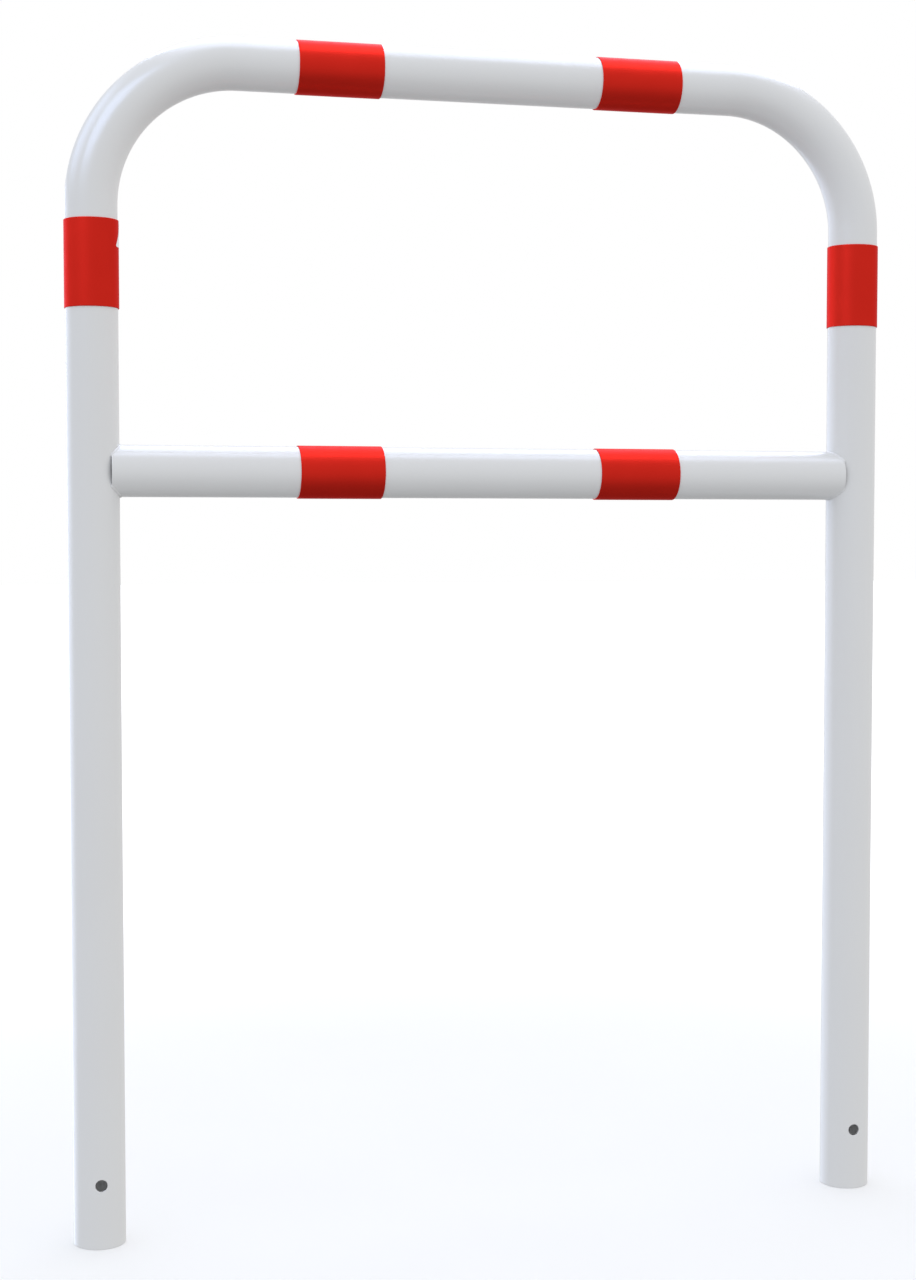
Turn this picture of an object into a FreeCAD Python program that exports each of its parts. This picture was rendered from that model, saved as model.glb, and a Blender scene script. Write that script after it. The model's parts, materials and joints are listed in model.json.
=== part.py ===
"""A fixed hoop barricade: one bent steel tube whose two posts are set in the ground, and a
straight cross rail welded between the posts.

The frame is +Z up with the posts along Z and the rails along X. The origin is midway between
the posts' centre lines, level with their feet. The front faces -Y. Sizes are millimetres.

The hoop and the rail are thin-walled round tube. The rail is cut square to length and then
coped to the posts above and below, so at the front and the back of each joint a flat nose of
the rail stands free of the post. A weld run above and one below join the two. Six red bands
are wrapped round the tube, and a blank label sits on the inner side of one of them.
"""

import FreeCAD, Part
import math
import os

# The hoop
OVERALL_WIDTH = 1000.0
OVERALL_HEIGHT = 1400.0
TUBE_OD = 60.0
TUBE_WALL = 2.5
BEND_RADIUS = 168.0  # of the tube's centre line

# The cross hole through each foot, which takes a bar that keys the post into its footing
ANCHOR_HOLE_DIAMETER = 14.0
ANCHOR_HOLE_HEIGHT = 75.0

# The cross rail
RAIL_DROP = 470.0  # from the top rail's centre line to this one's
RAIL_OD = 60.0
RAIL_WALL = 2.5
NOSE_SETBACK = 19.0  # from a post's centre line to the rail's flat end

# The welds, each as wide as the root gap and a little proud of the rail
ROOT_GAP = 1.5
WELD_CROWN = 0.6

# The bands, wrapped round the tube with their ends meeting at the back
BAND_LENGTH = 100.0
BAND_THICKNESS = 1.2
BAND_SEAM_GAP = 0.8
BAND_BELOW_BEND = 17.0  # from the end of the bend to a post band's upper edge
BAND_OFFSET = 183.0  # from the middle of a rail to a band's middle

# The label, a triangle with its base level
LABEL_SIDE = 34.0
LABEL_CORNER = 2.0
LABEL_THICKNESS = 0.2
LABEL_BASE_DROP = 31.0  # from its band's upper edge to the label's base

# What follows from them
TUBE_RADIUS = TUBE_OD / 2
RAIL_RADIUS = RAIL_OD / 2
BAND_RADIUS = TUBE_RADIUS + BAND_THICKNESS
POST_X = OVERALL_WIDTH / 2 - TUBE_RADIUS
TOP_Z = OVERALL_HEIGHT - TUBE_RADIUS
RAIL_Z = TOP_Z - RAIL_DROP
BEND_Z = TOP_Z - BEND_RADIUS
BEND_X = POST_X - BEND_RADIUS
POST_BAND_TOP = BEND_Z - BAND_BELOW_BEND
PAST_TUBE = 2 * max(TUBE_OD, RAIL_OD)  # more than enough for a cutter to clear a tube

X_AXIS = FreeCAD.Vector(1, 0, 0)
Y_AXIS = FreeCAD.Vector(0, 1, 0)
Z_AXIS = FreeCAD.Vector(0, 0, 1)
SIDES = {"left": -1, "right": 1}


def ring_face(centre, normal, outer_radius, inner_radius):
    """A flat ring, the section of a round tube."""
    disc = Part.Face(Part.Wire(Part.makeCircle(outer_radius, centre, normal)))
    bore = Part.Face(Part.Wire(Part.makeCircle(inner_radius, centre, normal)))
    return disc.cut(bore).Faces[0]


def tube_section(centre, normal):
    return ring_face(centre, normal, TUBE_RADIUS, TUBE_RADIUS - TUBE_WALL)


def post(side):
    foot = FreeCAD.Vector(side * POST_X, 0, 0)
    return tube_section(foot, Z_AXIS).extrude(Z_AXIS * BEND_Z)


def bend(side):
    """A quarter turn from the top of a post to the end of the top rail."""
    post_top = FreeCAD.Vector(side * POST_X, 0, BEND_Z)
    bend_centre = FreeCAD.Vector(side * BEND_X, 0, BEND_Z)
    return tube_section(post_top, Z_AXIS).revolve(bend_centre, Y_AXIS, -side * 90)


def top_rail():
    start = FreeCAD.Vector(-BEND_X, 0, TOP_Z)
    return tube_section(start, X_AXIS).extrude(X_AXIS * 2 * BEND_X)


def post_cylinder(side, radius):
    """A solid cylinder round a post's centre line where the cross rail meets it."""
    start = FreeCAD.Vector(side * POST_X, 0, RAIL_Z - PAST_TUBE)
    return Part.makeCylinder(radius, 2 * PAST_TUBE, start, Z_AXIS)


def anchor_hole(side):
    start = FreeCAD.Vector(side * POST_X, -PAST_TUBE, ANCHOR_HOLE_HEIGHT)
    return Part.makeCylinder(ANCHOR_HOLE_DIAMETER / 2, 2 * PAST_TUBE, start, Y_AXIS)


def hoop_tube():
    lengths = [bend(-1), top_rail(), bend(1), post(1)]
    hoop = post(-1).multiFuse(lengths).removeSplitter()
    return hoop.cut([anchor_hole(side) for side in SIDES.values()])


def cross_rail():
    nose_x = POST_X - NOSE_SETBACK
    start = FreeCAD.Vector(-nose_x, 0, RAIL_Z)
    section = ring_face(start, X_AXIS, RAIL_RADIUS, RAIL_RADIUS - RAIL_WALL)
    rail = section.extrude(X_AXIS * 2 * nose_x)
    copes = [post_cylinder(side, TUBE_RADIUS + ROOT_GAP) for side in SIDES.values()]
    return rail.cut(copes)


def weld(side, up):
    """The run above (up is 1) or below (up is -1) one joint: it fills the root gap over the
    rail's wall, from the front nose to the back one."""
    nose = FreeCAD.Vector(side * (POST_X - NOSE_SETBACK), 0, RAIL_Z)
    wall = ring_face(nose, X_AXIS, RAIL_RADIUS + WELD_CROWN, RAIL_RADIUS - RAIL_WALL)
    stub = wall.extrude(X_AXIS * -side * PAST_TUBE)
    in_the_gap = stub.common(post_cylinder(side, TUBE_RADIUS + ROOT_GAP))
    both_runs = in_the_gap.cut(post_cylinder(side, TUBE_RADIUS))
    corner = nose - FreeCAD.Vector(PAST_TUBE, PAST_TUBE, 0)
    if up < 0:
        corner.z -= PAST_TUBE
    half = Part.makeBox(2 * PAST_TUBE, 2 * PAST_TUBE, PAST_TUBE, corner)
    return both_runs.common(half)


def band(start, along, radius):
    """A band wrapped round a tube from start, with a narrow gap between its ends at +Y."""
    ring = ring_face(start, along, radius + BAND_THICKNESS, radius)
    across = along.cross(Y_AXIS)
    gap_corner = start - across * (BAND_SEAM_GAP / 2) - along * BAND_LENGTH
    reach = radius + 2 * BAND_THICKNESS
    gap = Part.makePolygon([
        gap_corner,
        gap_corner + across * BAND_SEAM_GAP,
        gap_corner + across * BAND_SEAM_GAP + Y_AXIS * reach,
        gap_corner + Y_AXIS * reach,
        gap_corner,
    ])
    gap_slab = Part.Face(gap).extrude(along * 3 * BAND_LENGTH)
    return ring.extrude(along * BAND_LENGTH).cut(gap_slab)


def post_band(side):
    foot = FreeCAD.Vector(side * POST_X, 0, POST_BAND_TOP - BAND_LENGTH)
    return band(foot, Z_AXIS, TUBE_RADIUS)


def rail_band(side, height, radius):
    start = FreeCAD.Vector(side * BAND_OFFSET - BAND_LENGTH / 2, 0, height)
    return band(start, X_AXIS, radius)


def label():
    """A blank triangle with rounded corners, on the inner side of the left post's band."""
    base_z = POST_BAND_TOP - LABEL_BASE_DROP
    inset = LABEL_CORNER * math.sqrt(3)  # of the corner centres, along the base
    half = LABEL_SIDE / 2 - inset
    low = base_z + LABEL_CORNER
    high = low + half * math.sqrt(3)
    corners = [(-half, low), (half, low), (0, high), (-half, low)]
    inner = Part.makePolygon([FreeCAD.Vector(-POST_X, y, z) for y, z in corners])
    outline = inner.makeOffset2D(LABEL_CORNER)
    prism = Part.Face(outline).extrude(X_AXIS * PAST_TUBE)
    foot = FreeCAD.Vector(-POST_X, 0, POST_BAND_TOP - BAND_LENGTH)
    skin = ring_face(foot, Z_AXIS, BAND_RADIUS + LABEL_THICKNESS, BAND_RADIUS)
    return prism.common(skin.extrude(Z_AXIS * BAND_LENGTH))


def all_parts():
    parts = {"hoop_tube": hoop_tube(), "cross_rail": cross_rail(), "blank_label": label()}
    for name, side in SIDES.items():
        parts[f"weld_{name}_upper"] = weld(side, 1)
        parts[f"weld_{name}_lower"] = weld(side, -1)
        parts[f"band_{name}_post"] = post_band(side)
        parts[f"band_top_{name}"] = rail_band(side, TOP_Z, TUBE_RADIUS)
        parts[f"band_rail_{name}"] = rail_band(side, RAIL_Z, RAIL_RADIUS)
    return parts


os.makedirs("parts", exist_ok=True)
for node, shape in all_parts().items():
    solids = shape.Solids
    single = solids[0] if len(solids) == 1 else Part.makeCompound(solids)
    single.exportStep(f"parts/{node}.step")
    print(f"{node}: {len(solids)} solid, valid {single.isValid()}, {single.Volume:.0f} mm3")
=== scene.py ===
# %% [markdown]
# # A hoop barricade in white and red
#
# This is the kind of steel hoop that keeps cars off a footpath. One round tube goes up, over and
# down again, a straight rail is welded across it at knee height, and red film is wrapped round
# it in six places. Below the ground line the two posts are plain, with a hole near each foot for
# a bar that stops the footing turning. Each lesson below takes one piece: what it is on the real
# object, how it could be modelled, and why it's done the way it is here.

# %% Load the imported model
import json
import math

import bmesh
import bpy
from mathutils import Matrix, Vector


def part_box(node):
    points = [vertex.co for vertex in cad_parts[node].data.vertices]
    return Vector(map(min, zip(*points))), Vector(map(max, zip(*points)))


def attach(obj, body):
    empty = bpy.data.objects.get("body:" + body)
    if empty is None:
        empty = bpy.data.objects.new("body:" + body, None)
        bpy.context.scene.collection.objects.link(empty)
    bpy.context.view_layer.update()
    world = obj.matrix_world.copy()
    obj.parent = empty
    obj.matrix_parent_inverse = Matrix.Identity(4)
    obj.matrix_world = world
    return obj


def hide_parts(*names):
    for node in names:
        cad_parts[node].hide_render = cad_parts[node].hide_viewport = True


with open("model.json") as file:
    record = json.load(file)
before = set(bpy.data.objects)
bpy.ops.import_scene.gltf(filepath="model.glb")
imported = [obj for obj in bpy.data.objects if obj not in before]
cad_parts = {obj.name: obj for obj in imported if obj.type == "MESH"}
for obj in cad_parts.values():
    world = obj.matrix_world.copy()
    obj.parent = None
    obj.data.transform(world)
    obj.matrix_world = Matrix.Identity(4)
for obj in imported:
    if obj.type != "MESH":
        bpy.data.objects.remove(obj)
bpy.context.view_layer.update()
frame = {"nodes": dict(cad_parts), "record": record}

print("nodes:", ", ".join(sorted(frame["nodes"])))

# %% [markdown]
# ## Sizes
#
# The engineering model says where everything is, so the sizes are read from the boxes of its
# nodes instead of being typed in twice. A box can't tell how thick a wall is or how tight a
# bend, so those few are given here. Everything is in metres.

# %% Read the sizes
MM = 0.001


def node_box(node):
    """A node's two corners, rounded to a hundredth of a millimetre."""
    low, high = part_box(node)
    return [Vector([round(c, 5) for c in corner]) for corner in (low, high)]


hoop_low, hoop_high = node_box("hoop_tube")
TUBE_RADIUS = round(hoop_high.y, 4)
POST_X = hoop_high.x - TUBE_RADIUS
TOP_Z = hoop_high.z - TUBE_RADIUS
BEND_RADIUS = 168 * MM
BEND_X = POST_X - BEND_RADIUS
BEND_Z = TOP_Z - BEND_RADIUS
WALL = 2.5 * MM

rail_low, rail_high = node_box("cross_rail")
RAIL_RADIUS = round((rail_high.z - rail_low.z) / 2, 4)
RAIL_Z = (rail_high.z + rail_low.z) / 2
NOSE_X = rail_high.x
ROOT_GAP = 1.5 * MM

holes = next(m for m in frame["record"]["mounts"] if m["name"] == "anchor_bar_holes")
HOLE_Z = holes["pos_m"][2]
HOLE_RADIUS = holes["dims"]["hole_r_mm"] * MM

print("in mm:")
print(f"tube radius {TUBE_RADIUS / MM:.1f}, posts at x {POST_X / MM:.1f}, top rail at z {TOP_Z / MM:.1f}")
print(f"cross rail radius {RAIL_RADIUS / MM:.1f} at z {RAIL_Z / MM:.1f}, ends at x {NOSE_X / MM:.1f}")
print(f"holes of radius {HOLE_RADIUS / MM:.1f} at z {HOLE_Z / MM:.1f}")

# %% [markdown]
# ## Helpers for every mesh
#
# A mesh is built in a bmesh, which is Blender's editable form of it, and then turned into an
# object once. The object stays at the origin and the place is in the points, so that a texture
# on object coordinates measures real metres on the whole barricade.

# %% Turn a bmesh into a piece
SAME_PLACE = 0.01 * MM  # points nearer to each other than this are one point


def verts_of(geometry):
    return [g for g in geometry if isinstance(g, bmesh.types.BMVert)]


def edges_of(geometry):
    return [g for g in geometry if isinstance(g, bmesh.types.BMEdge)]


def verts_along(edges):
    return list(dict.fromkeys(vert for edge in edges for vert in edge.verts))


def everything_in(bm):
    return bm.verts[:] + bm.edges[:] + bm.faces[:]


def with_mirror_image(bm):
    """Add the other half of an open tube that was built on one side of X = 0."""
    bmesh.ops.mirror(bm, geom=everything_in(bm), axis="X", merge_dist=SAME_PLACE)
    bmesh.ops.remove_doubles(bm, verts=bm.verts[:], dist=SAME_PLACE)
    bmesh.ops.recalc_face_normals(bm, faces=bm.faces[:])
    return bm


def finish_piece(bm, name, nodes):
    """Make an object of the bmesh, hang it on the root body, and hide the nodes that it replaces."""
    open_edges = sum(not edge.is_manifold for edge in bm.edges)
    twisted = sum(edge.is_manifold and not edge.is_contiguous for edge in bm.edges)
    volume = bm.calc_volume(signed=True)
    for face in bm.faces:
        face.smooth = True
    mesh = bpy.data.meshes.new(name)
    bm.to_mesh(mesh)
    bm.free()
    piece = bpy.data.objects.new(name, mesh)
    bpy.context.scene.collection.objects.link(piece)
    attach(piece, "root")
    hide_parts(*nodes)
    print(f"{name}: {len(mesh.polygons)} faces, {open_edges} open and {twisted} twisted edges, "
          f"{volume / MM ** 3:.0f} mm3")
    return piece


# %% [markdown]
# ## The hoop
#
# The real hoop is a straight length of welded tube, put through a bending machine twice. It
# could be a curve with a round bevel, which is quick, but a curve can't have a wall or a drilled
# hole. Here a circle of points is drawn at the foot and pulled along the tube's own path:
# straight up, round the bend with the spin operator, and along to the middle. The other half is
# the same thing in a mirror. Done once with the outer radius and once with the inner one, this
# gives the two skins of the wall.

# %% Draw one skin of the hoop
TUBE_SIDES = 96
PATCH_SIDES = 12  # the square round a hole is this many faces wide and high
PATCH_HALF = 12 * MM
BEND_STEPS = 48
FOOT_ROWS = [1.2 * MM, 4 * MM, 20 * MM, 40 * MM]
ROW_ABOVE_HOLE = 100 * MM  # a row here keeps the faces next to the patch short


def pull(bm, loop, shift):
    """Extrude an open loop of edges, move the new loop by shift, and return the new loop."""
    made = bmesh.ops.extrude_edge_only(bm, edges=loop)["geom"]
    moved = set(verts_of(made))
    bmesh.ops.translate(bm, verts=list(moved), vec=shift)
    return [edge for edge in edges_of(made) if set(edge.verts) <= moved]


def hoop_skin(radius):
    """An open tube along the hoop's path, with its faces outwards."""
    bm = bmesh.new()
    at_foot = Matrix.Translation((POST_X, 0, 0))
    bmesh.ops.create_circle(bm, segments=TUBE_SIDES, radius=radius, matrix=at_foot)
    loop = bm.edges[:]
    patch_rows = [HOLE_Z + PATCH_HALF * (2 * i / PATCH_SIDES - 1) for i in range(PATCH_SIDES + 1)]
    height = 0
    for row in FOOT_ROWS + patch_rows + [HOLE_Z + ROW_ABOVE_HOLE, RAIL_Z, BEND_Z]:
        loop = pull(bm, loop, (0, 0, row - height))
        height = row
    turned = bmesh.ops.spin(
        bm, geom=loop + verts_along(loop),
        cent=(BEND_X, 0, BEND_Z), axis=(0, 1, 0), dvec=(0, 0, 0),
        angle=-math.radians(90), steps=BEND_STEPS, use_merge=False)["geom_last"]
    pull(bm, edges_of(turned), (-BEND_X, 0, 0))
    return with_mirror_image(bm)


trial = hoop_skin(TUBE_RADIUS)
print(f"one skin has {len(trial.faces)} faces and {sum(e.is_boundary for e in trial.edges)} open edges")
trial.free()

# %% [markdown]
# ## The drilled holes
#
# Each foot is drilled from front to back. A boolean would cut the hole, but it leaves long
# crooked faces that catch the light badly on a smooth tube. So a square patch of faces is
# taken out, a circle is laid on the tube in its place, and the bridge operator joins the square
# to the circle with a neat fan of four-sided faces. The fan is cut across and its new points are
# put back on the tube, so the surface stays round up to the edge of the hole.

# %% Pierce a skin
FAN_CUTS = 3


def on_tube(verts, radius, side, front):
    """Put points on the tube's surface by moving them front to back only."""
    for vert in verts:
        across = vert.co.x - side * POST_X
        vert.co.y = front * math.sqrt(radius ** 2 - across ** 2)


def pierce(bm, radius, side, front):
    """Open one hole in a skin."""
    half_turn = math.radians(180) * PATCH_SIDES / TUBE_SIDES
    reach = radius * math.sin(half_turn) + SAME_PLACE
    patch = [
        face for face in bm.faces
        if abs(face.calc_center_median().x - side * POST_X) < reach
        and abs(face.calc_center_median().z - HOLE_Z) < PATCH_HALF
        and face.calc_center_median().y * front > 0
    ]
    taken_out = set(patch)
    square = [edge for edge in bm.edges if sum(face in taken_out for face in edge.link_faces) == 1]
    bmesh.ops.delete(bm, geom=patch, context="FACES")
    facing = Matrix.Translation((side * POST_X, 0, HOLE_Z)) @ Matrix.Rotation(math.radians(90), 4, "X")
    circle = bmesh.ops.create_circle(
        bm, segments=4 * PATCH_SIDES, radius=HOLE_RADIUS, matrix=facing)["verts"]
    on_tube(circle, radius, side, front)
    rim = list(dict.fromkeys(edge for vert in circle for edge in vert.link_edges))
    fan = bmesh.ops.bridge_loops(bm, edges=square + rim)
    spokes = [e for e in fan["edges"] if (e.verts[0] in circle) != (e.verts[1] in circle)]
    cut = bmesh.ops.subdivide_edges(bm, edges=spokes, cuts=FAN_CUTS, use_grid_fill=True)["geom_inner"]
    on_tube(verts_of(cut), radius, side, front)


HOLES = [(side, front) for side in (-1, 1) for front in (-1, 1)]
print(f"{len(HOLES)} holes, each with {4 * PATCH_SIDES} edges round its rim")

# %% [markdown]
# ## The wall and its edges
#
# The inner skin has to face the other way, into the bore. With both skins in one mesh, their
# rims are bridged at the feet and through the holes, and the shell is closed. A real edge is
# never knife sharp: the tube is deburred and the powder flows over what is left. The bevel
# operator rounds the rims by about half a millimetre, which makes them catch a thin light.

# %% Build the hoop
FOOT_ROUNDING = 0.6 * MM
HOLE_ROUNDING = 0.45 * MM
ROUNDING_STEPS = 3
RIM_SLACK = 2 * MM  # how far outside a rim's own radius its points are looked for


def add_skin(bm, skin):
    """Move another bmesh into this one, turned to face inwards."""
    bmesh.ops.reverse_faces(skin, faces=skin.faces[:])
    lent = bpy.data.meshes.new("lent")
    skin.to_mesh(lent)
    skin.free()
    bm.from_mesh(lent)
    bpy.data.meshes.remove(lent)


def round_edges(bm, edges, offset):
    bmesh.ops.bevel(bm, geom=edges, offset=offset, segments=ROUNDING_STEPS, profile=0.5,
                    affect="EDGES", material=-1)


def rim_edges(bm, centre, reach):
    """The open edges within reach of a point."""
    return [e for e in bm.edges if e.is_boundary
            and all((v.co - Vector(centre)).length < reach for v in e.verts)]


def off_axis(vert, side):
    """A point's distance from a post's centre line."""
    return math.hypot(vert.co.x - side * POST_X, vert.co.y)


def make_hoop():
    bm = hoop_skin(TUBE_RADIUS)
    bore = hoop_skin(TUBE_RADIUS - WALL)
    for side, front in HOLES:
        pierce(bm, TUBE_RADIUS, side, front)
        pierce(bore, TUBE_RADIUS - WALL, side, front)
    add_skin(bm, bore)
    half_wall = TUBE_RADIUS - WALL / 2
    foot_rims, hole_rims = [], []
    for side in (-1, 1):
        foot = rim_edges(bm, (side * POST_X, 0, 0), TUBE_RADIUS + RIM_SLACK)
        foot_rims += foot
        bmesh.ops.bridge_loops(bm, edges=foot)
    for side, front in HOLES:
        hole = rim_edges(bm, (side * POST_X, front * half_wall, HOLE_Z), HOLE_RADIUS + RIM_SLACK)
        hole_rims += [e for e in hole if off_axis(e.verts[0], side) > half_wall]
        bmesh.ops.bridge_loops(bm, edges=hole)
    round_edges(bm, foot_rims, FOOT_ROUNDING)
    round_edges(bm, hole_rims, HOLE_ROUNDING)
    return finish_piece(bm, "hoop", ["hoop_tube"])


hoop = make_hoop()

# %% [markdown]
# ## The cross rail
#
# The cross rail is the same tube, sawn square to length and then notched above and below so
# that it fits the round of the posts. The notch is narrower than the tube, so at the front and
# the back a flat nose is left standing beside the post with a thin dark gap behind it. When
# the steel is dipped in zinc, that gap lets the air out. The rail could be cut with a boolean,
# but every point of its end circle already lies on one line along the tube, so it's enough to
# slide each point to where the notch would stop it. Two pairs of points have to land on the
# corners of the nose, so the circle's points are first spread to suit.

# %% Build the cross rail
RAIL_SIDES = 108
EVEN_CORNER = math.radians(30)  # where a corner falls on an evenly divided circle
RAIL_ROUNDING = 0.45 * MM
NOTCH_RADIUS = TUBE_RADIUS + ROOT_GAP
NOSE_Y = math.sqrt(NOTCH_RADIUS ** 2 - (POST_X - NOSE_X) ** 2)
END_ROWS = [6 * MM, 1.2 * MM, 0]  # loops at these distances back from the end


def end_x(y):
    """How far along X the rail reaches, at this distance from front to back."""
    return NOSE_X if abs(y) >= NOSE_Y else POST_X - math.sqrt(NOTCH_RADIUS ** 2 - y ** 2)


def spread(angle, corner):
    """Move an even angle so that the evenly placed corner comes to the true one."""
    quarter = math.radians(90)
    if angle <= EVEN_CORNER:
        return angle * corner / EVEN_CORNER
    return corner + (angle - EVEN_CORNER) * (quarter - corner) / (quarter - EVEN_CORNER)


def rail_skin(radius):
    bm = bmesh.new()
    bmesh.ops.create_circle(bm, segments=RAIL_SIDES, radius=radius,
                            matrix=Matrix.Rotation(math.radians(90), 4, "Y"))
    corner = math.acos(NOSE_Y / radius)
    for vert in bm.verts:
        y, z = vert.co.y, vert.co.z
        angle = spread(math.atan2(abs(z), abs(y)), corner)
        vert.co.y = math.copysign(radius * math.cos(angle), y)
        vert.co.z = math.copysign(radius * math.sin(angle), z)
    bmesh.ops.translate(bm, verts=bm.verts[:], vec=(0, 0, RAIL_Z))
    loop = bm.edges[:]
    for back in END_ROWS:
        loop = pull(bm, loop, (0, 0, 0))
        for vert in verts_along(loop):
            vert.co.x = end_x(vert.co.y) - back
    return with_mirror_image(bm)


def make_cross_rail():
    bm = rail_skin(RAIL_RADIUS)
    outer_rims = [e for e in bm.edges if e.is_boundary]
    outer_ends = {e.verts[0].co.copy().freeze() for e in outer_rims}
    add_skin(bm, rail_skin(RAIL_RADIUS - WALL))
    rims = [e for e in bm.edges if e.is_boundary]
    for side in (-1, 1):
        bmesh.ops.bridge_loops(bm, edges=[e for e in rims if e.verts[0].co.x * side > 0])
    outer_rims = [e for e in rims if e.is_valid and e.verts[0].co.copy().freeze() in outer_ends]
    round_edges(bm, outer_rims, RAIL_ROUNDING)
    return finish_piece(bm, "rail", ["cross_rail"])


cross_rail = make_cross_rail()

# %% [markdown]
# ## The welds
#
# Above and below each joint a weld bead fills the line where the two tubes meet. Up close a
# hand-made bead is a row of little overlapping scales. It could be a bump texture, but the
# edge of a bead shows against the light, so it's real geometry here: a small circle is spun
# round the rail's centre line to give an arc, each point is slid along X onto the joint, and
# the arc is swollen and pinched in step to give the scales. They stay shallow, because the
# powder fills them. The bead also swells and thins slowly, as the hand's speed does, and both
# ends taper, where the welder lets the arc go.

# %% Build the four weld beads
BEAD_RADIUS = 2.0 * MM
BEAD_DEPTH = 1.25 * MM  # of its centre below the tubes' surface
BEAD_SIDES = 24
SCALE_PITCH = 1.6 * MM
STEPS_PER_SCALE = 8
SCALE_HEIGHT = 0.045  # of the bead's radius
SCALE_BOW = 1.1  # in pitches, how far a scale's middle lags behind its edges
SWELL_PITCH = 11 * MM
SWELL_HEIGHT = 0.05  # of the bead's radius
TAPER = 3.5 * MM  # the length over which an end thins out
BLUNT_END = 0.3  # of the bead's thickness, which is left at the very end


def make_bead(name, side, up):
    ring_radius = RAIL_RADIUS - BEAD_DEPTH
    joint_radius = TUBE_RADIUS + ROOT_GAP / 2
    half_angle = math.asin(NOSE_Y / RAIL_RADIUS)
    half_length = ring_radius * half_angle
    scales = round(2 * half_length / SCALE_PITCH)
    own_phase = side + 2 * up  # so that the beads don't all swell in the same places
    bm = bmesh.new()
    section = bmesh.ops.create_circle(
        bm, segments=BEAD_SIDES, radius=BEAD_RADIUS,
        matrix=Matrix.Translation((0, 0, up * ring_radius)) @ Matrix.Rotation(math.radians(90), 4, "X"))
    bmesh.ops.rotate(bm, verts=section["verts"], cent=(0, 0, 0),
                     matrix=Matrix.Rotation(-half_angle, 3, "X"))
    bmesh.ops.spin(bm, geom=bm.verts[:] + bm.edges[:], cent=(0, 0, 0), axis=(1, 0, 0), dvec=(0, 0, 0),
                   angle=2 * half_angle, steps=scales * STEPS_PER_SCALE, use_merge=False)
    for vert in bm.verts:
        angle = math.atan2(vert.co.y, up * vert.co.z)
        middle = Vector((0, ring_radius * math.sin(angle), up * ring_radius * math.cos(angle)))
        out = vert.co - middle
        lag = SCALE_BOW * (1 - (out.x / BEAD_RADIUS) ** 2)
        run = ring_radius * angle
        scale = 1 + SCALE_HEIGHT * math.sin(2 * math.pi * (run / SCALE_PITCH + lag))
        scale += SWELL_HEIGHT * math.sin(2 * math.pi * run / SWELL_PITCH + own_phase)
        to_end = min(1, max(0, (half_length - ring_radius * abs(angle)) / TAPER))
        taper = math.sqrt(1 - (1 - BLUNT_END ** 2) * (1 - to_end) ** 2)
        vert.co = middle + out * scale * taper
        joint = POST_X - math.sqrt(joint_radius ** 2 - vert.co.y ** 2)
        vert.co += Vector((side * joint, 0, RAIL_Z))
    bmesh.ops.holes_fill(bm, edges=[e for e in bm.edges if e.is_boundary], sides=BEAD_SIDES)
    bmesh.ops.recalc_face_normals(bm, faces=bm.faces[:])
    return finish_piece(bm, name, [name.replace("bead", "weld")])


beads = [
    make_bead(f"bead_{side_name}_{up_name}", side, up)
    for side_name, side in (("left", -1), ("right", 1))
    for up_name, up in (("upper", 1), ("lower", -1))
]

# %% [markdown]
# ## The red bands
#
# The bands are strips of stiff red film wrapped once round the tube, with their ends meeting
# at the back, where the join is least seen. A ring with a slot cut in it would do, but a strip
# is more simply drawn as its own cross-section, a thin rectangle, and spun round nearly a full
# turn. The rectangle's outer corners are rounded, and it's cut across a little way in from each
# end: smooth shading averages the faces that meet at a point, and without that extra row of
# points the soft edge would spread its shade across the whole band.

# %% Build the six bands
SEAM_GAP = 0.8 * MM
FILM_ROUNDING = 0.4 * MM
FILM_ROUNDING_STEPS = 4
BAND_STEPS = 120
KEEP_FLAT = 1.5 * MM  # from the film's edge to the row that keeps the rest flat


def make_band(name, upright):
    low, high = node_box(name)
    if upright:
        tube_radius, length = TUBE_RADIUS, high.z - low.z
        place = Matrix.Translation(((low.x + high.x) / 2, 0, low.z))
    else:
        tube_radius, length = RAIL_RADIUS, high.x - low.x
        lying = Matrix.Rotation(math.radians(90), 4, "Y")
        place = Matrix.Translation((low.x, 0, (low.z + high.z) / 2)) @ lying
    outside = round((high.y - low.y) / 2, 4)
    bm = bmesh.new()
    corners = [(tube_radius, 0), (outside, 0), (outside, length), (tube_radius, length)]
    section = bm.faces.new([bm.verts.new((r, 0, z)) for r, z in corners])
    outer_corners = [vert for vert in section.verts if vert.co.x > (tube_radius + outside) / 2]
    bmesh.ops.bevel(bm, geom=outer_corners, offset=FILM_ROUNDING, segments=FILM_ROUNDING_STEPS,
                    profile=0.5, affect="VERTICES", material=-1)
    for z in (KEEP_FLAT, length - KEEP_FLAT):
        bmesh.ops.bisect_plane(bm, geom=everything_in(bm),
                               plane_co=(0, 0, z), plane_no=(0, 0, 1))
    seam = SEAM_GAP / outside
    bmesh.ops.rotate(bm, verts=bm.verts[:], cent=(0, 0, 0),
                     matrix=Matrix.Rotation(math.radians(90) + seam / 2, 3, "Z"))
    bmesh.ops.spin(bm, geom=everything_in(bm), cent=(0, 0, 0), axis=(0, 0, 1),
                   dvec=(0, 0, 0), angle=math.radians(360) - seam, steps=BAND_STEPS, use_merge=False)
    bmesh.ops.transform(bm, matrix=place, verts=bm.verts[:])
    bmesh.ops.recalc_face_normals(bm, faces=bm.faces[:])
    return finish_piece(bm, name.replace("band", "film"), [name])


BANDS = {"band_left_post": True, "band_right_post": True, "band_top_left": False,
         "band_top_right": False, "band_rail_left": False, "band_rail_right": False}
films = [make_band(name, upright) for name, upright in BANDS.items()]

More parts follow.
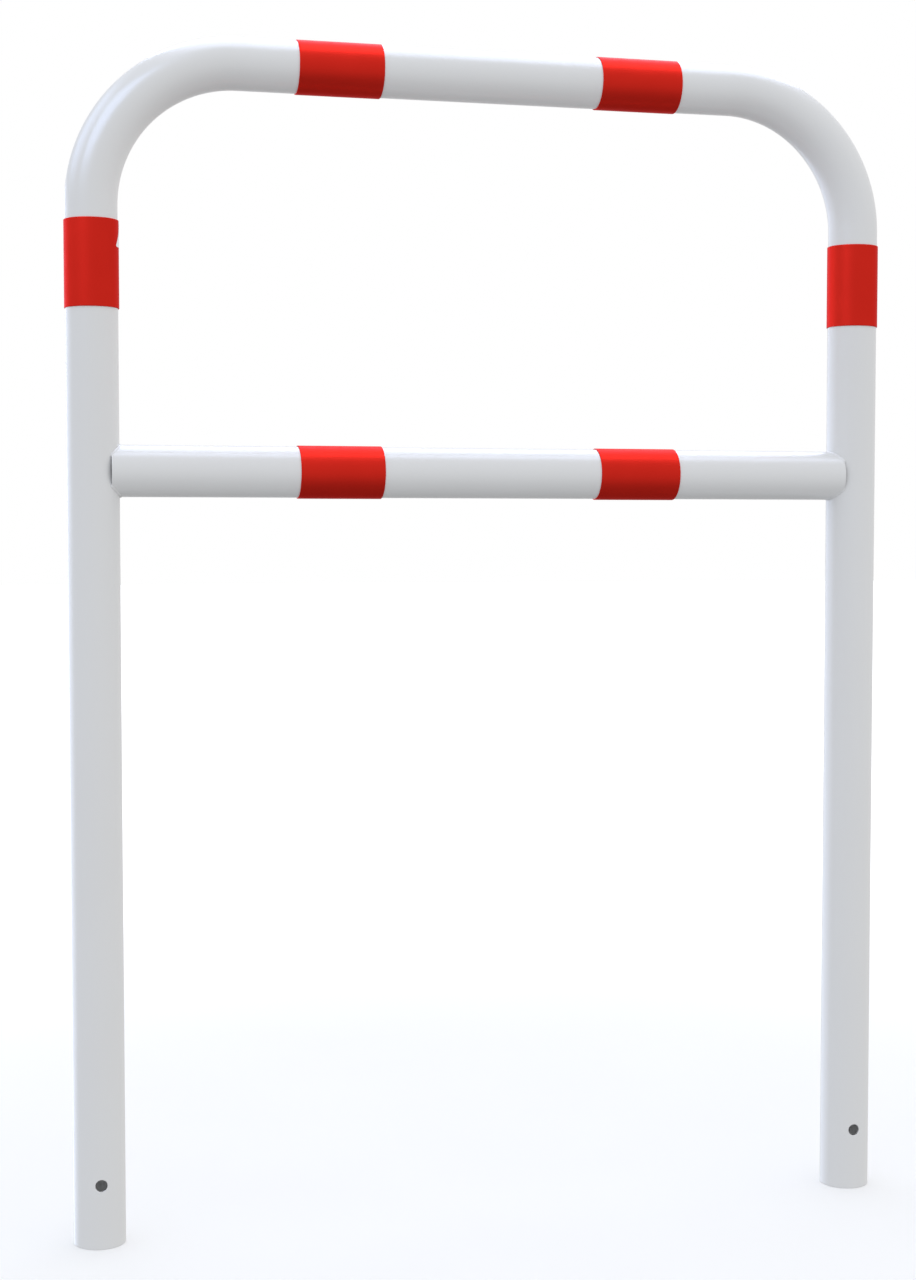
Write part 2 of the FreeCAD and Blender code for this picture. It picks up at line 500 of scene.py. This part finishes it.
# %% [markdown]
# ## The label
#
# One post carries a small triangular label on the inner side of its band. On the real thing
# it would be printed; here it's left blank. A circle of three points is a triangle, and a bevel
# on its corners rounds them. An inset gives it a narrow border, which keeps the shade of its cut
# edge off its face. A flat sheet can only bend where it has points, so it's cut into narrow
# upright strips before it's laid on the curve of the band.

# %% Build the label
LABEL_SIDE = 34 * MM
LABEL_CORNER = 2 * MM
LABEL_CORNER_STEPS = 8
LABEL_BORDER = 0.3 * MM
STRIP = 1.5 * MM
STRIPS = 12  # on each side of the middle, which is enough for the label's base


def make_label():
    low, high = node_box("blank_label")
    film_low, film_high = node_box("band_left_post")
    inside = round((film_high.x - film_low.x) / 2, 4)
    outside = round(high.x + POST_X, 4)
    bm = bmesh.new()
    upright = Matrix.Rotation(math.radians(90), 4, "Y") @ Matrix.Rotation(math.radians(90), 4, "Z")
    bmesh.ops.create_circle(
        bm, cap_ends=True, segments=3, radius=LABEL_SIDE / math.sqrt(3), matrix=upright)
    bmesh.ops.bevel(bm, geom=bm.verts[:], offset=LABEL_CORNER * math.sqrt(3),
                    segments=LABEL_CORNER_STEPS, profile=0.5, affect="VERTICES", material=-1)
    bmesh.ops.translate(bm, verts=bm.verts[:], vec=(0, 0, low.z - min(v.co.z for v in bm.verts)))
    bmesh.ops.inset_region(bm, faces=bm.faces[:], thickness=LABEL_BORDER, use_boundary=True,
                           use_even_offset=True)
    for i in range(-STRIPS, STRIPS + 1):
        bmesh.ops.bisect_plane(bm, geom=everything_in(bm),
                               plane_co=(0, i * STRIP, 0), plane_no=(0, 1, 0))
    front = bmesh.ops.extrude_face_region(bm, geom=bm.faces[:], use_keep_orig=True)["geom"]
    lifted = set(verts_of(front))
    for vert in bm.verts:
        radius = outside if vert in lifted else inside
        vert.co.x = math.sqrt(radius ** 2 - vert.co.y ** 2) - POST_X
    bmesh.ops.recalc_face_normals(bm, faces=bm.faces[:])
    return finish_piece(bm, "label", ["blank_label"])


label = make_label()

# %% [markdown]
# ## Shared surface effects
#
# No factory finish is perfectly even. Two effects are used by several materials here, so each is
# a node group: a fine relief, for the orange-peel skin of powder coat and the grain of film, and
# a slow mottle, for the small differences in colour and gloss from one hand's breadth to the
# next. Both are noise in three dimensions read at the surface, so they have no seams and need no
# unwrapping. The mottle has little fine detail, and its two tones are blended over the noise's
# whole range: on an even white coat, a patch with a crisp edge looks like a stain. A group hands
# back plain numbers, and each material decides what to do with them.

# %% Node helpers
def plug(tree, socket, value):
    """Link a socket, or give it a fixed value."""
    if isinstance(value, bpy.types.NodeSocket):
        tree.links.new(value, socket)
    else:
        socket.default_value = value


def put(tree, kind, inputs=None, **settings):
    """Add a node, set its options, and plug its inputs by name or number."""
    node = tree.nodes.new(kind)
    for name, value in settings.items():
        setattr(node, name, value)
    for name, value in (inputs or {}).items():
        plug(tree, node.inputs[name], value)
    return node


def blend_numbers(tree, factor, first, second):
    return put(tree, "ShaderNodeMix", {0: factor, 2: first, 3: second}).outputs[0]


def blend_colors(tree, factor, first, second):
    return put(tree, "ShaderNodeMix", {0: factor, 6: first, 7: second}, data_type="RGBA").outputs[2]


def ramp(tree, value, start, end):
    """0 below start, 1 above end, and a soft step between them."""
    return put(tree, "ShaderNodeMapRange", {"Value": value, "From Min": start, "From Max": end},
               interpolation_type="SMOOTHSTEP").outputs[0]


def maths(tree, operation, *values):
    return put(tree, "ShaderNodeMath", dict(enumerate(values)), operation=operation).outputs[0]


def noise(tree, position, scale, detail, roughness=0.5):
    return put(tree, "ShaderNodeTexNoise", {
        "Vector": position, "Scale": scale, "Detail": detail, "Roughness": roughness}).outputs["Fac"]


def start_group(name, inputs, outputs):
    """A new shader node group with named sockets, and the two nodes at its ends."""
    group = bpy.data.node_groups.new(name, "ShaderNodeTree")
    for title, kind in inputs.items():
        group.interface.new_socket(title, in_out="INPUT", socket_type="NodeSocket" + kind)
    for title, kind in outputs.items():
        group.interface.new_socket(title, in_out="OUTPUT", socket_type="NodeSocket" + kind)
    return group, put(group, "NodeGroupInput").outputs, put(group, "NodeGroupOutput").inputs


def use_group(tree, group, inputs):
    node = put(tree, "ShaderNodeGroup", node_tree=group)
    for name, value in inputs.items():
        plug(tree, node.inputs[name], value)
    return node.outputs


# %% Build the two groups
GRIT_FINENESS = 4.3  # how much finer the grit is than the bumps
GLOSS_FINENESS = 2.7  # how much smaller the patches of gloss are than those of colour
MOTTLE_DETAIL = 1.5


def make_relief_group():
    group, given, result = start_group(
        "fine relief", {"Position": "Vector", "Bumps per metre": "Float", "Grit": "Float"},
        {"Height": "Float"})
    swell = noise(group, given["Position"], given["Bumps per metre"], 1.0, 0.4)
    finer = maths(group, "MULTIPLY", given["Bumps per metre"], GRIT_FINENESS)
    grit = noise(group, given["Position"], finer, 2.0, 0.6)
    plug(group, result["Height"], blend_numbers(group, given["Grit"], swell, grit))
    return group


def make_mottle_group():
    group, given, result = start_group(
        "slow mottle",
        {"Position": "Vector", "Patches per metre": "Float", "One color": "Color",
         "Other color": "Color", "Least rough": "Float", "Most rough": "Float"},
        {"Color": "Color", "Roughness": "Float"})
    cloud = noise(group, given["Position"], given["Patches per metre"], MOTTLE_DETAIL)
    tone = ramp(group, cloud, 0.0, 1.0)
    color = blend_colors(group, tone, given["One color"], given["Other color"])
    smaller = maths(group, "MULTIPLY", given["Patches per metre"], GLOSS_FINENESS)
    gloss = ramp(group, noise(group, given["Position"], smaller, MOTTLE_DETAIL), 0.0, 1.0)
    roughness = blend_numbers(group, gloss, given["Least rough"], given["Most rough"])
    plug(group, result["Color"], color)
    plug(group, result["Roughness"], roughness)
    return group


fine_relief = make_relief_group()
slow_mottle = make_mottle_group()
print("groups:", fine_relief.name, "and", slow_mottle.name)

# %% [markdown]
# ## White powder coat over zinc
#
# The tube is hot-dip galvanised and then powder coated. Powder coat is a plastic skin about a
# tenth of a millimetre thick: white, softly glossy, and very slightly pebbled like the peel of
# an orange. The spray only reaches a hand's breadth into the open foot, so further up the bore is
# bare zinc, dull grey with the crystal pattern that galvanising leaves. One material does
# both. It measures how far a point is from the post's centre line, and where that is less than
# the outer radius it turns to zinc, with a ragged edge where the powder thins out. The test is only
# good on the straight post, so it stops at the bend, which nobody can see into.

# %% Make the white coat
COAT_WHITE = (0.803, 0.808, 0.813, 1)
COAT_WHITE_WARM = (0.792, 0.795, 0.798, 1)
COAT_REACH = 150 * MM  # how far up the bore the powder goes
COAT_FADE = 22 * MM
FADE_TATTERS = 90.0  # per metre, along the powder's ragged edge
ZINC_LIGHT = (0.30, 0.31, 0.31, 1)
ZINC_DARK = (0.19, 0.20, 0.205, 1)
ZINC_ROUGHNESS = 0.55
ZINC_METAL = 0.6  # less than a bright metal, because zinc dulls
CRYSTALS_PER_METRE = 160.0
INSIDE_RADIUS = TUBE_RADIUS - WALL * 0.6  # a point nearer the axis than this is in the bore


def start_material(name, plain_color):
    """An empty material with a Principled shader. Returns its tree, shader and object position."""
    material = bpy.data.materials.new(name)
    material.use_nodes = True
    material.diffuse_color = plain_color
    tree = material.node_tree
    tree.nodes.clear()
    shader = put(tree, "ShaderNodeBsdfPrincipled")
    put(tree, "ShaderNodeOutputMaterial", {"Surface": shader.outputs[0]})
    position = put(tree, "ShaderNodeTexCoord").outputs["Object"]
    return material, tree, shader, position


def add_relief(tree, shader, position, bumps_per_metre, grit, depth):
    height = use_group(tree, fine_relief, {
        "Position": position, "Bumps per metre": bumps_per_metre, "Grit": grit})["Height"]
    bump = put(tree, "ShaderNodeBump", {"Height": height, "Strength": 1.0, "Distance": depth})
    plug(tree, shader.inputs["Normal"], bump.outputs["Normal"])


def in_the_bore(tree, position):
    """1 on a post's inner wall, 0 on its outer one, worn through at the powder's ragged edge."""
    axes = put(tree, "ShaderNodeSeparateXYZ", {0: position}).outputs
    across = maths(tree, "SUBTRACT", maths(tree, "ABSOLUTE", axes["X"]), POST_X)
    squares = maths(tree, "ADD", maths(tree, "MULTIPLY", across, across),
                    maths(tree, "MULTIPLY", axes["Y"], axes["Y"]))
    radius = maths(tree, "SQRT", squares)
    inside = maths(tree, "LESS_THAN", radius, INSIDE_RADIUS)
    tatters = noise(tree, position, FADE_TATTERS, 4.0)
    ragged = maths(tree, "MULTIPLY_ADD", tatters, COAT_FADE, axes["Z"])
    bare = ramp(tree, ragged, COAT_REACH, COAT_REACH + COAT_FADE / 2)
    straight = maths(tree, "LESS_THAN", axes["Z"], BEND_Z)
    return maths(tree, "MULTIPLY", maths(tree, "MULTIPLY", inside, bare), straight)


def make_white_coat():
    material, tree, shader, position = start_material("white powder coat", COAT_WHITE)
    coat = use_group(tree, slow_mottle, {
        "Position": position, "Patches per metre": 9.0, "One color": COAT_WHITE,
        "Other color": COAT_WHITE_WARM, "Least rough": 0.27, "Most rough": 0.31})
    crystals = put(tree, "ShaderNodeTexVoronoi", {
        "Vector": position, "Scale": CRYSTALS_PER_METRE, "Randomness": 1.0}).outputs["Color"]
    crystal_tone = put(tree, "ShaderNodeSeparateColor", {0: crystals}).outputs[0]
    zinc = blend_colors(tree, crystal_tone, ZINC_LIGHT, ZINC_DARK)
    bare = in_the_bore(tree, position)
    plug(tree, shader.inputs["Base Color"], blend_colors(tree, bare, coat["Color"], zinc))
    roughness = blend_numbers(tree, bare, coat["Roughness"], ZINC_ROUGHNESS)
    plug(tree, shader.inputs["Roughness"], roughness)
    plug(tree, shader.inputs["Metallic"], maths(tree, "MULTIPLY", bare, ZINC_METAL))
    add_relief(tree, shader, position, bumps_per_metre=520.0, grit=0.12, depth=0.010 * MM)
    return material


white_coat = make_white_coat()
hoop.data.materials.append(white_coat)
cross_rail.data.materials.append(white_coat)
print("white coat on the hoop and the rail")

# %% [markdown]
# ## Coated weld
#
# The same powder covers the welds, but it pulls thin on the crests of a bead and pools between
# its scales, so its gloss is more uneven there than on the tube, and a little duller as a whole.

# %% Make the weld coat
def make_weld_coat():
    material, tree, shader, position = start_material("coated weld", COAT_WHITE)
    coat = use_group(tree, slow_mottle, {
        "Position": position, "Patches per metre": 160.0, "One color": COAT_WHITE,
        "Other color": COAT_WHITE_WARM, "Least rough": 0.26, "Most rough": 0.42})
    plug(tree, shader.inputs["Base Color"], coat["Color"])
    plug(tree, shader.inputs["Roughness"], coat["Roughness"])
    add_relief(tree, shader, position, bumps_per_metre=1400.0, grit=0.4, depth=0.02 * MM)
    return material


weld_coat = make_weld_coat()
for bead in beads:
    bead.data.materials.append(weld_coat)
print("weld coat on", len(beads), "beads")

# %% [markdown]
# ## Red film
#
# Reflective film is red resin over a layer of tiny silvered glass beads. By daylight it's a deep,
# even red with a satin face, faintly grainy close up, and its highlights are red too, not white,
# because the light that comes back has been through the resin. That is what a metal does, so the
# shader is made nearly half metal, and its own white gloss is turned down. The beads are a noise
# far finer than the relief group, which here is the slight unevenness of the glue under a strip
# that was wrapped by hand. A strip this stiff also keeps a little of the roll's curl, so its
# gloss drifts slowly along it, which is the mottle group's part.

# %% Make the red film
FILM_RED = (0.68, 0.0235, 0.0140, 1)
FILM_RED_DEEP = (0.63, 0.0210, 0.0125, 1)
FILM_GLINT = (1.0, 0.13, 0.07, 1)  # a glancing highlight's color
FILM_METAL = 0.42
FILM_GLOSS = 0.04  # of the plain white gloss that a plastic has
BEADS_PER_METRE = 3000.0
BEAD_SHADE = 0.35  # how much of the deeper red shows between the beads


def make_red_film():
    material, tree, shader, position = start_material("red film", FILM_RED)
    film = use_group(tree, slow_mottle, {
        "Position": position, "Patches per metre": 22.0, "One color": FILM_RED,
        "Other color": FILM_RED_DEEP, "Least rough": 0.34, "Most rough": 0.44})
    between_beads = ramp(tree, noise(tree, position, BEADS_PER_METRE, 1.0), 0.3, 0.7)
    shade = maths(tree, "MULTIPLY", between_beads, BEAD_SHADE)
    plug(tree, shader.inputs["Base Color"], blend_colors(tree, shade, film["Color"], FILM_RED_DEEP))
    plug(tree, shader.inputs["Roughness"], film["Roughness"])
    shader.inputs["Metallic"].default_value = FILM_METAL
    shader.inputs["Specular IOR Level"].default_value = FILM_GLOSS
    shader.inputs["Specular Tint"].default_value = FILM_GLINT
    add_relief(tree, shader, position, bumps_per_metre=620.0, grit=0.25, depth=0.03 * MM)
    return material


red_film = make_red_film()
for film in films:
    film.data.materials.append(red_film)
print("red film on", len(films), "bands")

# %% [markdown]
# ## Label vinyl
#
# Plain white printing vinyl: smoother and brighter than the powder coat, with a faint tooth.

# %% Make the label vinyl
VINYL_WHITE = (0.93, 0.935, 0.94, 1)
VINYL_GREY = (0.90, 0.905, 0.91, 1)


def make_label_film():
    material, tree, shader, position = start_material("label vinyl", VINYL_WHITE)
    vinyl = use_group(tree, slow_mottle, {
        "Position": position, "Patches per metre": 60.0, "One color": VINYL_WHITE,
        "Other color": VINYL_GREY, "Least rough": 0.22, "Most rough": 0.30})
    plug(tree, shader.inputs["Base Color"], vinyl["Color"])
    plug(tree, shader.inputs["Roughness"], vinyl["Roughness"])
    add_relief(tree, shader, position, bumps_per_metre=2500.0, grit=0.5, depth=0.005 * MM)
    return material


label_film = make_label_film()
label.data.materials.append(label_film)
print("vinyl on the label")

# %% [markdown]
# ## Floor
#
# A plain pale floor. It's hidden from the light that bounces between surfaces, because a white
# floor all round would light the undersides of the rails as brightly as their fronts and
# flatten them. The sky below gives them a dimmer, greyer light instead. The floor also glows a
# little, and more with distance, so that it melts into the backdrop with no horizon, as a
# studio's curved paper sweep does, and only the soft shadows at the feet are left on it.

# %% Lay the floor
FLOOR_SIZE = 60.0
FLOOR_WHITE = (0.84, 0.84, 0.84, 1)
FLOOR_GREY = (0.82, 0.82, 0.82, 1)
GLOW_NEAR = (0.16, 0.16, 0.16, 1)
GLOW_FAR = (0.60, 0.60, 0.60, 1)
GLOW_START, GLOW_END = 0.8, 3.0  # metres from the origin


def make_floor():
    bm = bmesh.new()
    bmesh.ops.create_grid(bm, x_segments=1, y_segments=1, size=FLOOR_SIZE / 2)
    mesh = bpy.data.meshes.new("floor")
    bm.to_mesh(mesh)
    bm.free()
    floor = bpy.data.objects.new("floor", mesh)
    bpy.context.scene.collection.objects.link(floor)
    material, tree, shader, position = start_material("pale floor", FLOOR_WHITE)
    shade = use_group(tree, slow_mottle, {
        "Position": position, "Patches per metre": 2.0, "One color": FLOOR_WHITE,
        "Other color": FLOOR_GREY, "Least rough": 0.8, "Most rough": 0.9})
    plug(tree, shader.inputs["Base Color"], shade["Color"])
    plug(tree, shader.inputs["Roughness"], shade["Roughness"])
    distance = put(tree, "ShaderNodeVectorMath", {0: position}, operation="LENGTH").outputs["Value"]
    far = ramp(tree, distance, GLOW_START, GLOW_END)
    plug(tree, shader.inputs["Emission Color"], blend_colors(tree, far, GLOW_NEAR, GLOW_FAR))
    shader.inputs["Emission Strength"].default_value = 1.0
    mesh.materials.append(material)
    floor.visible_diffuse = False
    floor.visible_glossy = False
    floor.visible_shadow = False


make_floor()
print("floor", FLOOR_SIZE, "m across")

# %% [markdown]
# ## Light
#
# A studio lights a white thing on white by making every side a slightly different white. The
# surroundings are brightest overhead, a little dimmer at the horizon, and fall away below it, so
# the rails stay flat white to a little under their middle and then turn grey. They are cooler on
# the left and above than on the right and below. Reflections find the part below darker still,
# as if a black cloth lay there. The coat hardly shows it, but nearly half of the film's light is
# mirrored, so the film turns deep red along its underside. To the camera itself the surroundings
# are plain white.
#
# Four panels only show as reflections. One overhead whitens the top edges of the rails, and is
# narrow enough that the bends lose it as they turn down. A large far one behind and to the left
# draws a cool rim down each post, and reaches below the floor's level, because the lower half of
# a post reflects what is below the camera's height. Two smaller ones are up on the left. From
# the front only the left bend mirrors them, and each draws a cool streak round the curve.

# %% Set up the surroundings
# The brightness at each height: -1 is straight down, 0 is the horizon and 1 is straight up.
SKY = {-1.0: 0.20, -0.7: 0.50, -0.4: 0.72, -0.1: 0.82, 0.2: 0.85, 1.0: 1.0}
CLOTH_EDGE, CLOTH_MIDDLE = 0.2, 0.9  # depths, where the dark cloth starts and where it's darkest
CLOTH_DARKNESS = 0.7
TINT_COOL = (0.955, 0.985, 1.04, 1)
TINT_NEUTRAL = (1.0, 1.0, 0.995, 1)
LEFT_WITH_HEIGHT = 0.5  # how much a direction's height counts towards the cool side
NEUTRAL_SIDE, COOL_SIDE = -0.8, 0.9
BACKDROP = (1.0, 1.0, 1.0, 1)


def grey(brightness):
    return (brightness, brightness, brightness, 1)


def make_surroundings():
    world = bpy.data.worlds.new("studio")
    world.use_nodes = True
    bpy.context.scene.world = world
    tree = world.node_tree
    tree.nodes.clear()
    direction = put(tree, "ShaderNodeTexCoord").outputs["Generated"]
    axes = put(tree, "ShaderNodeSeparateXYZ", {0: direction}).outputs
    height = put(tree, "ShaderNodeMapRange", {"Value": axes["Z"], "From Min": -1.0}).outputs[0]
    shades = put(tree, "ShaderNodeValToRGB", {0: height})
    stops = shades.color_ramp.elements
    stops[0].color = grey(SKY[-1.0])
    stops[1].color = grey(SKY[1.0])
    for z in sorted(SKY)[1:-1]:
        stops.new((z + 1) / 2).color = grey(SKY[z])
    leftness = maths(tree, "SUBTRACT", maths(tree, "MULTIPLY", axes["Z"], LEFT_WITH_HEIGHT), axes["X"])
    coolness = ramp(tree, leftness, NEUTRAL_SIDE, COOL_SIDE)
    tint = blend_colors(tree, coolness, TINT_NEUTRAL, TINT_COOL)
    sky = put(tree, "ShaderNodeMix", {0: 1.0, 6: shades.outputs[0], 7: tint},
              data_type="RGBA", blend_type="MULTIPLY").outputs[2]
    ray = put(tree, "ShaderNodeLightPath").outputs
    below = ramp(tree, maths(tree, "MULTIPLY", axes["Z"], -1.0), CLOTH_EDGE, CLOTH_MIDDLE)
    mirrored = maths(tree, "MULTIPLY", ray["Is Glossy Ray"], CLOTH_DARKNESS)
    sky = blend_colors(tree, maths(tree, "MULTIPLY", below, mirrored), sky, grey(0.0))
    seen = blend_colors(tree, ray["Is Camera Ray"], sky, BACKDROP)
    background = put(tree, "ShaderNodeBackground", {"Color": seen, "Strength": 1.0})
    put(tree, "ShaderNodeOutputWorld", {"Surface": background.outputs[0]})


make_surroundings()
print("surroundings with", len(SKY), "stops from straight down to straight up")


# %% Hang the panels
def add_panel(name, place, aim, size, watts, color):
    light = bpy.data.lights.new(name, "AREA")
    light.shape = "RECTANGLE"
    light.size, light.size_y = size
    light.energy = watts
    light.color = color
    lamp = bpy.data.objects.new(name, light)
    lamp.location = place
    lamp.rotation_euler = (Vector(aim) - Vector(place)).to_track_quat("-Z", "Y").to_euler()
    lamp.visible_diffuse = False
    lamp.visible_camera = False
    bpy.context.scene.collection.objects.link(lamp)
    print(f"{name} panel, {size[0]} by {size[1]} m")


LEFT_BEND = (-POST_X, 0, BEND_Z + BEND_RADIUS / 2)
add_panel("overhead", place=(0.7, 0.8, 3.75), aim=(0.7, 0, 1.2), size=(3.1, 4.2), watts=217,
          color=(0.68, 0.75, 1.0))
add_panel("left rim", place=(-4.5, 6.6, -0.2), aim=(0, 0, -0.2), size=(10.0, 6.0), watts=337,
          color=(0.68, 0.77, 1.0))
add_panel("inner streak", place=(-2.2, -1.9, 3.2), aim=LEFT_BEND, size=(2.0, 1.8), watts=80,
          color=(0.52, 0.66, 1.0))
add_panel("outer streak", place=(-3.2, 0.9, 3.4), aim=LEFT_BEND, size=(2.6, 2.2), watts=55,
          color=(0.52, 0.66, 1.0))

# %% [markdown]
# ## Camera
#
# The camera stands in front and to the left at about waist height, some two and a half metres
# away, and looks very slightly down. The lens is a mild telephoto, which keeps the posts nearly
# parallel.

# %% Place the camera
CAMERA_PLACE = (-0.6441, -2.4336, 0.8307)
CAMERA_TURN_RIGHT = 0.2440  # radians
CAMERA_TILT_DOWN = 0.0521  # radians
SENSOR = 36.0
LENS = 58.69

camera_data = bpy.data.cameras.new("camera")
camera_data.sensor_width = SENSOR
camera_data.lens = LENS
camera = bpy.data.objects.new("camera", camera_data)
camera.location = CAMERA_PLACE
camera.rotation_euler = (math.radians(90) - CAMERA_TILT_DOWN, 0, -CAMERA_TURN_RIGHT)
bpy.context.scene.collection.objects.link(camera)
bpy.context.scene.camera = camera
bpy.context.scene.view_settings.view_transform = "Standard"
print("camera lens", LENS, "mm")
